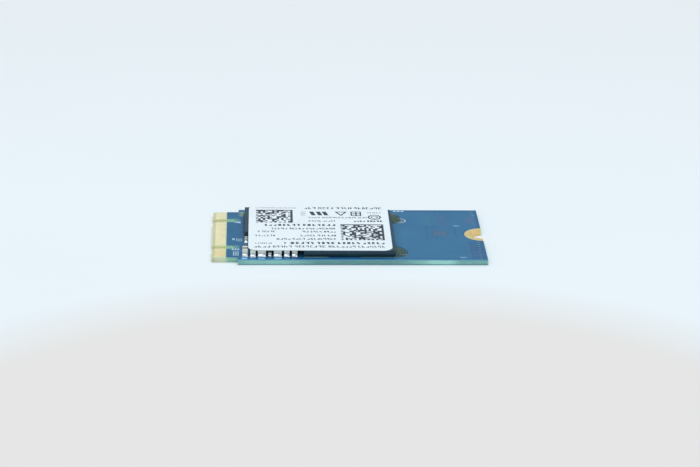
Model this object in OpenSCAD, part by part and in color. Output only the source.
// Solid state drive on a 22 mm wide plug-in card, with its parts on the upper face only.
// Units are millimetres. +X runs from the connector edge to the screw end, +Z is up, and the
// origin is the middle of the card's footprint on the surface that it lies on.

/* [Board] */
// Length of the card, connector edge to screw end
board_l = 42; // [42:1:80]
// Width of the card behind its shoulders
board_w = 22; // [22:0.1:24]
// Finished thickness of the card
board_t = 0.8; // [0.75:0.05:1]

/* [Card edge] */
// Width of the tongue that enters the socket
tongue_w = 19.85; // [19.6:0.05:20]
// Length of the tongue in front of the shoulders
tongue_l = 4; // [3.9:0.1:4.2]
// Width of each key notch
key_w = 1.2; // [1.1:0.05:1.25]
// Depth of each key notch
key_l = 3.5; // [3.2:0.1:3.6]
// Width of one gold contact
contact_w = 0.35; // [0.25:0.01:0.4]
// Length of one gold contact
contact_l = 1.65; // [1.4:0.05:1.7]

/* [Screw notch] */
// Radius of the half-round notch at the screw end
notch_r = 1.75; // [1.5:0.05:1.8]
// Radius of the gold land around the notch
land_r = 2.75; // [2.4:0.05:2.9]

/* [Packages] */
// Size of the flash package along the card
flash_l = 14; // [12:0.5:14]
// Size of the flash package across the card
flash_w = 18; // [14:0.5:18]
// Size of the controller package along the card
controller_l = 8; // [7:0.5:8]
// Size of the controller package across the card
controller_w = 11; // [9:0.5:11]
// Height of both packages above the card, solder balls included
package_h = 1.1; // [1.05:0.05:1.3]

/* [Label] */
// Size of the label along the card
label_l = 22; // [18:0.5:22]
// Size of the label across the card
label_w = 19.6; // [16:0.1:20]
// Radius of the label's corners
label_r = 1.4; // [0.5:0.1:2]

/* [Hidden] */
$fn = 48;

// Card stack, from the bottom up
connector_x = -board_l / 2;
screw_x = board_l / 2;
mask_t = 0.03;
copper_t = 0.03;
face_z = board_t - mask_t;
core_z0 = mask_t + (board_t - 2 * mask_t) * 0.34;
core_z1 = mask_t + (board_t - 2 * mask_t) * 0.66;
plane_inset = 0.4;
bevel_l = 0.45;
bevel_h = 0.16;
plating_t = 0.17;
via_r = 0.12;

// Card edge contacts: 75 places at half of the 0.5 mm pitch, odd ones on top
pin_step = 0.25;
middle_pin = 38;
last_pin = 75;
key_b_pins = [12, 19];
key_m_pins = [59, 66];
contact_x = 0.45;
mask_start = 2.2;

// Packages, measured from the connector edge
controller_x = 9;
controller_y = 3.75;
flash_x = 21;
flash_y = -0.8;
ball_h = 0.2;
substrate_t = 0.22;
package_z = board_t + ball_h;
package_top = board_t + package_h;
mould_z = package_z + substrate_t;
die_l = 7.4;
die_w = 10.4;
die_t = 0.1;
die_step = 0.45;
die_count = 4;
controller_die_l = 4.6;
controller_die_w = 5.4;
controller_die_t = 0.25;
wire_t = 0.05;

// Chip parts: [length, width, height], then [x, y] of each one that lies along Y
bulk_size = [1.7, 0.85, 1];
bulk_at = [[5.08, -8.5], [6.28, -8.8], [11.43, -8.7], [12.63, -8.6]];
inductor_size = [2, 1.25, 1];
inductor_at = [[7.64, -8.55], [10.04, -8.55]];
small_size = [1, 0.5, 0.55];
small_at = concat(
    [[8.84, -9], [5.25, -2.9], [6.3, -3.1], [6.3, -4.7]],
    [for (i = [0 : 3]) [6.3 + 0.8 * i, -6.55]],
    [for (i = [0 : 6]) [13.5, 8 - 1.7 * i]]
);
resistor_size = [1, 0.5, 0.35];
resistor_at = [for (i = [0 : 3]) [9.5 + 0.8 * i, -6.55]];
land_t = mask_t;
solder_t = 0.02;
cap_wall = 0.03;
cap_share = 0.24;

power_chip_x = 8.9;
power_chip_y = -4.1;
power_chip_size = [3, 3, 0.75];
crystal_x = 12;
crystal_y = -4.2;
crystal_size = [2, 1.6, 0.5];

label_x = 16.6;
label_y = -0.15;
label_turn = -0.4;
adhesive_t = 0.03;
label_t = 0.1;
label_top = package_top + label_t;

// Marks on the card
fiducial_at = [29.45, 6.1];
fiducial_r = 0.5;
ring_r = 1;
ring_t = 0.2;
silk_t = 0.012;
copper_end = board_l - 3.1;

// ---------------------------------------------------------------- helpers

module from_edge(x, y = 0, z = 0) translate([connector_x + x, y, z]) children();

module block(size, at) translate([at[0] - size[0] / 2, at[1] - size[1] / 2, at[2]]) cube(size);

module rect(x0, y0, x1, y1) from_edge(x0, y0) square([x1 - x0, y1 - y0]);

module slab(z0, z1) translate([0, 0, z0]) linear_extrude(z1 - z0) children();

function pin_y(pin) = (pin - middle_pin) * pin_step;
function in_key(pin, key) = pin >= key[0] && pin <= key[1];
function key_y(key) = (pin_y(key[0]) + pin_y(key[1])) / 2;
function pins(first) = [
    for (p = [first : 2 : last_pin]) if (!in_key(p, key_b_pins) && !in_key(p, key_m_pins)) p
];

// ---------------------------------------------------------------- card outline

module key_slot(y) {
    from_edge(-1, y - key_w / 2) square([key_l - key_w / 2 + 1, key_w]);
    from_edge(key_l - key_w / 2, y) circle(d = key_w);
}

// The wider half round that the screw notch's plating sits in
module plating_bed() translate([screw_x, 0]) circle(notch_r + plating_t);

module card_outline() {
    difference() {
        union() {
            rect(0, -tongue_w / 2, tongue_l + 1, tongue_w / 2);
            rect(tongue_l, -board_w / 2, board_l, board_w / 2);
        }
        key_slot(key_y(key_b_pins));
        key_slot(key_y(key_m_pins));
        plating_bed();
    }
}

// Plated holes: two columns at the screw end, a fan-out column and a row at the long edge
via_at = concat(
    [for (i = [0 : 5]) [board_l - 0.9, -10.3 + i]],
    [for (i = [0 : 6]) [board_l - 0.9, 4.3 + i]],
    [for (i = [0 : 8]) [2.75, 4.75 - 1 * i]],
    [for (i = [0 : 5]) [31 + 1.3 * i, board_w / 2 - 0.5]]
);

module via_circles(extra = 0) for (p = via_at) from_edge(p[0], p[1]) circle(via_r + extra);

module bevel_cut(z, up) {
    edge = z - up * bevel_h;
    translate([connector_x, 0, 0]) rotate([90, 0, 0]) linear_extrude(board_w, center = true)
        polygon([[-1, edge], [0, edge], [bevel_l, z], [bevel_l, z + up], [-1, z + up]]);
}

// ---------------------------------------------------------------- copper inside the card

module plane_outline() {
    difference() {
        rect(tongue_l + plane_inset, -board_w / 2 + plane_inset,
             board_l - plane_inset, board_w / 2 - plane_inset);
        translate([screw_x, 0]) circle(land_r);
        key_slot(key_y(key_b_pins));
        key_slot(key_y(key_m_pins));
    }
}

module ground_plane_2d() difference() { plane_outline(); via_circles(); }
module power_plane_2d() difference() { plane_outline(); via_circles(0.15); }

module ground_plane() color("peru") slab(core_z0 - copper_t, core_z0) ground_plane_2d();
module power_plane() color("peru") slab(core_z1, core_z1 + copper_t) power_plane_2d();

// Copper lines that fan out from a row of contacts towards the packages
module fan_out(first, x_end) {
    line_w = 0.2;
    for (p = pins(first)) if (abs(pin_y(p)) < 9) {
        long = len(search(p % 8, [1, 2, 5])) > 0;
        rect(mask_start + 0.1, pin_y(p) - line_w / 2, long ? x_end : x_end - 0.7, pin_y(p) + line_w / 2);
    }
}

// The slit that separates a small copper island from the copper around it
module island_slit(x0, y0, x1, y1, slit) difference() {
    rect(x0, y0, x1, y1);
    rect(x0 + slit, y0 + slit, x1 - slit, y1 - slit);
}

// A row of short copper bars, one millimetre apart
module ladder(x0, x1, y0, count) for (i = [0 : count - 1]) rect(x0, y0 + i, x1, y0 + i + 0.45);

module copper_top_2d() {
    difference() {
        fan_out(1, 4.6);
        via_circles(0.1);
        key_slot(key_y(key_b_pins));
        key_slot(key_y(key_m_pins));
    }
    difference() {
        rect(28.3, -board_w / 2 + plane_inset, board_l - plane_inset, board_w / 2 - plane_inset);
        translate([screw_x, 0]) circle(land_r + 0.2);
        rect(board_l - 2.3, -10.7, board_l, -3.2);
        via_circles(0.1);
        island_slit(board_l - 8.7, -2, board_l - 4, 3.3, 0.14);
        island_slit(board_l - 7.7, -0.7, board_l - 5.35, 1.55, 0.1);
        from_edge(fiducial_at[0], fiducial_at[1]) circle(ring_r + 0.1);
        rect(28.5, -9, 29.9, -8.35);
        rect(29.5, board_w / 2 - 0.8, 38, board_w / 2 - 0.4);
    }
    ladder(board_l - 2.15, board_l - 1.15, -10.5, 7);
}

module copper_bottom_2d() {
    difference() {
        fan_out(2, 6.2);
        via_circles(0.1);
        key_slot(key_y(key_b_pins));
        key_slot(key_y(key_m_pins));
    }
    difference() {
        rect(7, -board_w / 2 + plane_inset, copper_end, board_w / 2 - plane_inset);
        bottom_pad_circles(0.2);
        rect(30, board_w / 2 - 0.8, 38.4, board_w / 2 - 0.4);
        for (i = [0 : 5]) rect(8 + 1.1 * i, -9.6, 8.15 + 1.1 * i, -2 + 0.4 * i);
        rect(19.2, -10, 19.35, 9.4);
    }
    ladder(board_l - 2.1, board_l - 0.9, 4.2, 6);
}

module copper_top() color("peru") slab(face_z - copper_t, face_z) copper_top_2d();
module copper_bottom() color("peru") slab(mask_t, mask_t + copper_t) copper_bottom_2d();

module board_vias() color("chocolate") slab(mask_t, face_z) via_circles();

// ---------------------------------------------------------------- laminates

module sheet(z0, z1) slab(z0, z1) difference() { card_outline(); via_circles(); }

module laminate_lower() {
    color("darkseagreen") difference() {
        sheet(mask_t, core_z0);
        slab(core_z0 - copper_t, core_z0 + 1) ground_plane_2d();
        slab(-1, mask_t + copper_t) copper_bottom_2d();
        bevel_cut(mask_t, -1);
    }
}

module laminate_core() color("mediumaquamarine") sheet(core_z0, core_z1);

module laminate_upper() {
    color("darkseagreen") difference() {
        sheet(core_z1, face_z);
        slab(core_z1 - 1, core_z1 + copper_t) power_plane_2d();
        slab(face_z - copper_t, face_z + 1) copper_top_2d();
        bevel_cut(face_z, 1);
    }
}

// ---------------------------------------------------------------- solder mask and marks

module mask_outline() difference() {
    card_outline();
    rect(-1, -board_w, mask_start, board_w);
    translate([screw_x, 0]) circle(land_r);
}

module solder_mask_top() {
    color("steelblue") slab(face_z, board_t) difference() {
        mask_outline();
        fiducial_circles();
        top_pad_squares();
        land_squares();
    }
}

module solder_mask_bottom() {
    color("steelblue") slab(0, mask_t) difference() {
        mask_outline();
        bottom_pad_circles();
        bottom_marks();
    }
}

// A hollow square mark
module frame_mark(x0, y0, x1, y1, line) difference() {
    rect(x0, y0, x1, y1);
    rect(x0 + line, y0 + line, x1 - line, y1 - line);
}

module top_marks() {
    difference() {
        from_edge(fiducial_at[0], fiducial_at[1]) circle(ring_r);
        from_edge(fiducial_at[0], fiducial_at[1]) circle(ring_r - ring_t);
    }
    for (i = [0 : 2]) rect(28.65 + 0.62 * i, board_w / 2 - 0.85, 29.1 + 0.62 * i, board_w / 2 - 0.3);
    rect(board_l - 4.2, 3.6, board_l - 3.3, 3.9);
    rect(board_l - 4.2, -10.1, board_l - 3.2, -9.8);
    rect(board_l - 0.85, 8.6, board_l - 0.6, 8.8);
    for (i = [0 : 1]) rect(board_l - 1.05, -4.45 + 0.95 * i, board_l - 0.7, -4.3 + 0.95 * i);
    rect(3.1, -2.6, 3.45, -1.85);
    rect(3.7, -2.9, 3.85, -1.95);
    frame_mark(4.05, -3.1, 4.55, -2.05, 0.12);
    for (i = [0 : 2]) rect(3.05 + 0.42 * i, -6.95, 3.33 + 0.42 * i, -6.25);
    frame_mark(3.25, -9.2, 4.1, -7.55, 0.16);
    rect(3.55, -8.75, 3.8, -8);
    from_edge(0) polygon([[3.2, 5.35], [4.35, 5.7], [4.35, 4.75]]);
}

module bottom_marks() {
    frame_mark(22, -8.2, 35.5, 8.2, 0.15);
    rect(22.6, 7, 23.4, 7.8);
    for (i = [0 : 4]) rect(8 + 0.9 * i, board_w / 2 - 1.1, 8.5 + 0.9 * i, board_w / 2 - 0.6);
}

module silkscreen_top() color("white") slab(board_t, board_t + silk_t) top_marks();
module silkscreen_bottom() color("white") slab(0, mask_t) bottom_marks();

// ---------------------------------------------------------------- bare gold

module contact_squares(first) {
    for (p = pins(first)) rect(contact_x, pin_y(p) - contact_w / 2, contact_x + contact_l, pin_y(p) + contact_w / 2);
}

module edge_contacts_top() color("gold") slab(face_z, board_t) contact_squares(1);
module edge_contacts_bottom() color("gold") slab(0, mask_t) contact_squares(2);

module on_card() intersection() {
    rect(board_l - 2 * land_r, -board_w / 2, board_l, board_w / 2);
    children();
}

module land_2d() on_card() difference() {
    translate([screw_x, 0]) circle(land_r);
    plating_bed();
}

module plating_2d() on_card() difference() {
    plating_bed();
    translate([screw_x, 0]) circle(notch_r);
}

module screw_land_top() color("gold") slab(face_z, board_t) land_2d();
module screw_land_bottom() color("gold") slab(0, mask_t) land_2d();
module screw_notch_plating() color("goldenrod") slab(0, board_t) plating_2d();

module fiducial_circles() from_edge(fiducial_at[0], fiducial_at[1]) circle(fiducial_r);

module fiducial_pad() color("gold") slab(face_z, board_t) fiducial_circles();

module top_pad_squares() for (i = [0 : 2]) rect(28.62 + 0.42 * i, -8.85, 28.9 + 0.42 * i, -8.5);

module test_pads_top() color("khaki") slab(face_z, board_t) top_pad_squares();

module bottom_pad_circles(extra = 0) {
    for (i = [0 : 4], j = [0 : 3]) from_edge(23.8 + 2.4 * i, -5.4 + 3.6 * j) circle(0.55 + extra);
    for (i = [0 : 3]) from_edge(9.5 + 2.2 * i, 7.5) circle(0.4 + extra);
}

module test_pads_bottom() color("gold") slab(0, mask_t) bottom_pad_circles();

// ---------------------------------------------------------------- chip parts with end caps

// One end cap's length on a part of this size
function cap_l(size) = size[0] * cap_share;

module lay_along_y(places) for (p = places) from_edge(p[0], p[1]) rotate(90) children();

module chip_body(size) {
    core = [size[0] - 2 * cap_wall, size[1] - 2 * cap_wall, size[2] - 2 * cap_wall];
    block(core, [0, 0, board_t + solder_t + cap_wall]);
}

module chip_caps(size) {
    for (side = [-1, 1]) difference() {
        block([cap_l(size), size[1], size[2]],
              [side * (size[0] - cap_l(size)) / 2, 0, board_t + solder_t]);
        chip_body(size);
    }
}

module chip_lands(size) {
    for (side = [-1, 1]) translate([side * (size[0] / 2 - cap_l(size) / 2 + 0.08), 0])
        square([cap_l(size) + 0.3, size[1] + 0.1], center = true);
}

// A thin layer of solder under each cap, and a wedge that climbs its end
module chip_solder(size) {
    climb = size[2] * 0.42;
    foot = 0.22;
    for (side = [0, 180]) rotate(side) {
        block([cap_l(size), size[1], solder_t], [size[0] / 2 - cap_l(size) / 2, 0, board_t]);
        translate([size[0] / 2, size[1] / 2, board_t]) rotate([90, 0, 0]) linear_extrude(size[1])
            polygon([[0, 0], [foot, 0], [foot, 0.04], [foot * 0.35, climb * 0.4], [0, climb]]);
    }
}

module land_squares() {
    lay_along_y(bulk_at) chip_lands(bulk_size);
    lay_along_y(inductor_at) chip_lands(inductor_size);
    lay_along_y(small_at) chip_lands(small_size);
    lay_along_y(resistor_at) chip_lands(resistor_size);
    at_power_chip() projection() pad_ring();
    at_crystal() crystal_pads();
}

module component_lands() color("khaki") slab(face_z, board_t) land_squares();

module solder_fillets() {
    color("gainsboro") {
        lay_along_y(bulk_at) chip_solder(bulk_size);
        lay_along_y(inductor_at) chip_solder(inductor_size);
        lay_along_y(small_at) chip_solder(small_size);
        lay_along_y(resistor_at) chip_solder(resistor_size);
        slab(board_t, board_t + solder_t) at_power_chip() projection() pad_ring();
        slab(board_t, board_t + solder_t) at_crystal() crystal_pads();
    }
}

module bulk_capacitor_bodies() color("tan") lay_along_y(bulk_at) chip_body(bulk_size);
module bulk_capacitor_terminals() color("silver") lay_along_y(bulk_at) chip_caps(bulk_size);
module small_capacitor_bodies() color("burlywood") lay_along_y(small_at) chip_body(small_size);
module small_capacitor_terminals() color("silver") lay_along_y(small_at) chip_caps(small_size);
module inductor_terminals() color("lightgray") lay_along_y(inductor_at) chip_caps(inductor_size);

// The winding inside an inductor: flat turns, one above the other, joined by a post
module coil() {
    turn = [1.1, 0.7];
    line_w = 0.14;
    base = board_t + 0.3;
    for (i = [0 : 3]) translate([0, 0, base + 0.16 * i]) linear_extrude(0.06) difference() {
        square(turn, center = true);
        square([turn[0] - 2 * line_w, turn[1] - 2 * line_w], center = true);
    }
    translate([turn[0] / 2 - line_w, -line_w / 2, base]) cube([line_w, line_w, 0.16 * 3 + 0.06]);
}

module inductor_coils() color("darkorange") lay_along_y(inductor_at) coil();

module inductor_bodies() {
    color("dimgray") lay_along_y(inductor_at) difference() {
        chip_body(inductor_size);
        coil();
    }
}

// A resistor's element is a thin dark coat on top of its white ceramic, between the caps
module resistor_element() {
    size = resistor_size;
    coat = [size[0] - 2 * cap_l(size), size[1] - 2 * cap_wall, cap_wall];
    block(coat, [0, 0, board_t + solder_t + size[2] - cap_wall]);
}

module resistor_bodies() color("whitesmoke") lay_along_y(resistor_at) chip_body(resistor_size);
module resistor_terminals() color("silver") lay_along_y(resistor_at) chip_caps(resistor_size);
module resistor_elements() color("black") lay_along_y(resistor_at) resistor_element();

// ---------------------------------------------------------------- ball grid packages

module ball() rotate_extrude() polygon([
    [0, 0], [0.14, 0], [0.2, ball_h * 0.35], [0.2, ball_h * 0.65], [0.14, ball_h], [0, ball_h]
]);

// Rows and columns of balls about a package's middle, left empty within the open half sizes
module ball_grid(columns, rows, pitch, open_x, open_y) {
    for (i = [0 : columns - 1], j = [0 : rows - 1]) {
        x = (i - (columns - 1) / 2) * pitch;
        y = (j - (rows - 1) / 2) * pitch;
        if (abs(x) > open_x || abs(y) > open_y) translate([x, y, board_t]) ball();
    }
}

module package_box(l, w, z0, z1) block([l, w, z1 - z0], [0, 0, z0]);

module at_controller() from_edge(controller_x, controller_y) children();
module at_flash() from_edge(flash_x, flash_y) children();

// A bond wire in the XZ plane: up from its die, over, and down to the substrate
module bond_wire(x0, z0, x1, z1, rise) {
    top = z0 + rise;
    side = sign(x1 - x0);
    rotate([90, 0, 0]) linear_extrude(wire_t, center = true) polygon([
        [x0, z0], [x0, top], [x0 + side * 2 * wire_t, top + wire_t], [x1 - side * wire_t, z0 + rise * 0.4],
        [x1, z1], [x1 - side * wire_t, z1], [x1 - side * 2 * wire_t, z0 + rise * 0.3],
        [x0 + side * 2 * wire_t, top], [x0 + side * wire_t, z0]
    ]);
}

module controller_die_box() {
    package_box(controller_die_l, controller_die_w, mould_z, mould_z + controller_die_t);
}

module controller_wires() {
    pad = controller_die_l / 2 - 0.15;
    for (j = [0 : 11], side = [-1, 1]) translate([0, (j - 5.5) * 0.42, 0])
        bond_wire(side * pad, mould_z + controller_die_t, side * (pad + 0.75), mould_z, 0.1);
}

module controller_substrate() {
    color("darkolivegreen") at_controller() package_box(controller_l, controller_w, package_z, mould_z);
}

module controller_die() color("slategray") at_controller() controller_die_box();
module controller_bond_wires() color("gold") at_controller() controller_wires();

module controller_mould() {
    color([0.18, 0.19, 0.21]) at_controller() difference() {
        package_box(controller_l, controller_w, mould_z, package_top);
        controller_die_box();
        controller_wires();
    }
}

module controller_solder_balls() {
    color("silver") at_controller()
        ball_grid(floor(controller_l / 0.65) - 1, floor(controller_w / 0.65) - 1, 0.65, 1, 1.4);
}

// A low fillet of resin against the sides of the controller
module fillet_strip(length, reach, height) {
    rotate([90, 0, 90]) linear_extrude(length, center = true)
        polygon([[0, 0], [reach, 0], [reach * 0.35, height * 0.45], [0, height]]);
}

module controller_underfill() {
    reach = 0.42;
    height = ball_h + substrate_t;
    color("darkolivegreen", 0.6) translate([0, 0, board_t]) at_controller() {
        translate([-controller_l / 2, 0.5, 0]) rotate(90) fillet_strip(controller_w - 0.6, reach, height);
        translate([0, controller_w / 2, 0]) fillet_strip(controller_l, reach, height);
        translate([-controller_l / 2 - 0.5, controller_w / 2 - 0.7, 0]) cylinder(r = 0.6, h = 0.12);
    }
}

module flash_substrate() {
    color("darkolivegreen") at_flash() package_box(flash_l, flash_w, package_z, mould_z);
}

module flash_die_box(n) translate([die_step * (n - 2.5), 0, 0])
    package_box(die_l, die_w, mould_z + die_t * (n - 1), mould_z + die_t * n);

module flash_die(n) color(n % 2 == 0 ? "slategray" : "lightslategray") at_flash() flash_die_box(n);

// Each die's ledge is wired down to the ledge below it, and the lowest one to the substrate
module flash_wires() {
    for (j = [0 : 11], n = [1 : die_count]) translate([0, (j - 5.5) * 0.8, 0]) {
        ledge = -die_l / 2 + die_step * (n - 2.5);
        bond_wire(ledge + 0.16, mould_z + die_t * n, ledge - 0.22, mould_z + die_t * (n - 1), 0.06);
    }
}

module flash_bond_wires() color("gold") at_flash() flash_wires();

module flash_mould() {
    color([0.16, 0.17, 0.19]) at_flash() difference() {
        package_box(flash_l, flash_w, mould_z, package_top);
        for (n = [1 : die_count]) flash_die_box(n);
        flash_wires();
    }
}

module flash_solder_balls() {
    color("silver") at_flash() ball_grid(floor(flash_l) - 2, floor(flash_w) - 2, 1, 1.2, 9);
}

// Beads of resin that hold the two corners of the flash package on the open side
module adhesive_outline() {
    right = flash_x + flash_l / 2;
    difference() {
        union() {
            from_edge(right, 8.3) circle(1.3);
            from_edge(right, 6) circle(1.35);
            from_edge(right, -8) circle(1.6);
            from_edge(right + 0.6, -7.6) circle(1.3);
            from_edge(right, -6) circle(1.1);
        }
        rect(0, -board_w, right, board_w);
    }
}

module flash_corner_adhesive() {
    color("olive", 0.6) difference() {
        slab(board_t, board_t + 0.24) adhesive_outline();
        silkscreen_top();
    }
}

// ---------------------------------------------------------------- power chip and crystal

module power_chip_die_box() block([1.8, 1.8, 0.2], [0, 0, board_t + solder_t + 0.15]);

module pad_ring() {
    half = power_chip_size[0] / 2 - 0.2;
    for (turn = [0 : 3], i = [-2 : 2]) rotate(turn * 90)
        block([0.4, 0.26, 0.15], [half, i * 0.5, board_t + solder_t]);
    block([1.7, 1.7, 0.15], [0, 0, board_t + solder_t]);
}

module at_power_chip() from_edge(power_chip_x, power_chip_y) children();

module power_chip_pads() color("silver") at_power_chip() pad_ring();
module power_chip_die() color("slategray") at_power_chip() power_chip_die_box();

module power_chip_body() {
    color([0.2, 0.21, 0.22]) at_power_chip() difference() {
        block(power_chip_size, [0, 0, board_t + solder_t]);
        pad_ring();
        power_chip_die_box();
    }
}

module at_crystal() from_edge(crystal_x, crystal_y) children();

module crystal_pads() for (i = [-1, 1], j = [-1, 1]) translate([i * 0.65, j * 0.48])
    square([0.6, 0.5], center = true);

// The crystal's ceramic tray carries the quartz blank, under a metal lid
module crystal_base() {
    size = crystal_size;
    color("linen") at_crystal() difference() {
        block([size[0], size[1], size[2] - 0.08], [0, 0, board_t + solder_t]);
        block([size[0] - 0.4, size[1] - 0.4, 1], [0, 0, board_t + solder_t + 0.14]);
    }
}

module crystal_blank() {
    color("lightcyan") at_crystal() translate([-0.1, 0, 0])
        block([1.3, 0.9, 0.06], [0, 0, board_t + solder_t + 0.14]);
}

module crystal_lid() {
    size = crystal_size;
    color("lightgray") at_crystal()
        block([size[0] - 0.15, size[1] - 0.15, 0.08], [0, 0, board_t + solder_t + size[2] - 0.08]);
}

// ---------------------------------------------------------------- label

module label_outline() {
    from_edge(label_x, label_y) rotate(label_turn) {
        square([label_l - 2 * label_r, label_w], center = true);
        square([label_l, label_w - 2 * label_r], center = true);
        for (i = [-1, 1], j = [-1, 1])
            translate([i * (label_l / 2 - label_r), j * (label_w / 2 - label_r)]) circle(label_r);
    }
}

module label_adhesive() color("lightyellow") slab(package_top, package_top + adhesive_t) label_outline();
module label_sheet() color("white") slab(package_top + adhesive_t, label_top) label_outline();

// ---------------------------------------------------------------- nodes

laminate_lower();
laminate_core();
laminate_upper();
ground_plane();
power_plane();
copper_top();
copper_bottom();
board_vias();
solder_mask_top();
solder_mask_bottom();
silkscreen_top();
silkscreen_bottom();
edge_contacts_top();
edge_contacts_bottom();
screw_land_top();
screw_land_bottom();
screw_notch_plating();
fiducial_pad();
test_pads_top();
test_pads_bottom();
component_lands();
solder_fillets();
controller_substrate();
controller_die();
controller_bond_wires();
controller_mould();
controller_solder_balls();
controller_underfill();
flash_substrate();
flash_die(1);  // flash_die_1
flash_die(2);  // flash_die_2
flash_die(3);  // flash_die_3
flash_die(4);  // flash_die_4
flash_bond_wires();
flash_mould();
flash_solder_balls();
flash_corner_adhesive();
power_chip_body();
power_chip_pads();
power_chip_die();
inductor_bodies();
inductor_terminals();
inductor_coils();
bulk_capacitor_bodies();
bulk_capacitor_terminals();
small_capacitor_bodies();
small_capacitor_terminals();
resistor_bodies();
resistor_terminals();
resistor_elements();
crystal_base();
crystal_blank();
crystal_lid();
label_adhesive();
label_sheet();
